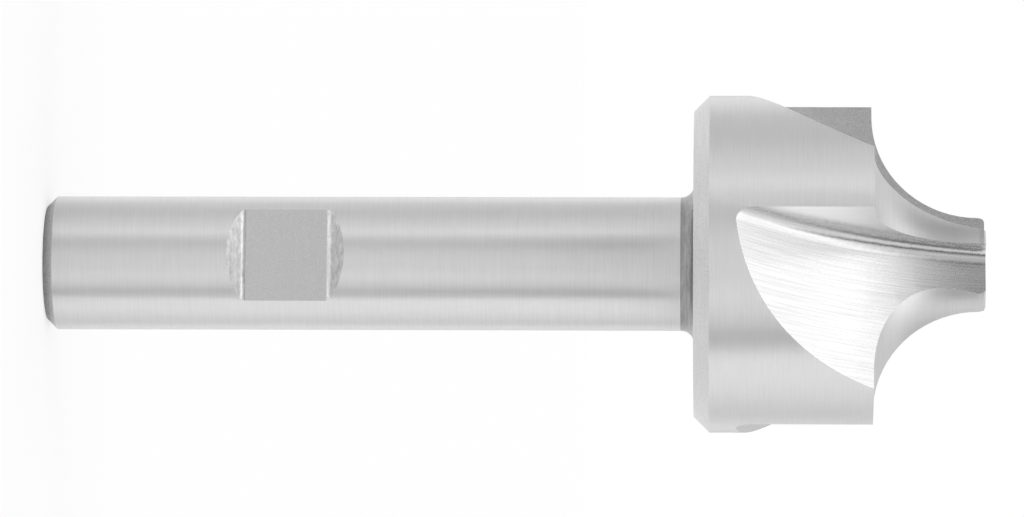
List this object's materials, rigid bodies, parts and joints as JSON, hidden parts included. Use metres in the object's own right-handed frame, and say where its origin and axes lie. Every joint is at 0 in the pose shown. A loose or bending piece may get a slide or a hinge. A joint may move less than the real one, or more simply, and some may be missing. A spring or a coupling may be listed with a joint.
{
  "type": "corner rounding end mill",
  "caption": "Corner rounding end mill: a straight shank with a driving flat carries a wide round head whose fluted teeth end in a concave quarter circle that rounds the edge of a workpiece.",
  "frame": {"origin": "centre of the shank's end face, which the tool stands on", "axes": "+Z along the tool's axis from the shank end to the cutting tip; the driving flat on the shank faces -Y"},
  "size_m": [0.0303, 0.0302, 0.0844],
  "materials": {
    "ground_tool_steel": "ground bright, with fine grinding marks"
  },
  "bodies": {
    "root": {"end_mill": "ground_tool_steel"}
  },
  "joints": []
}
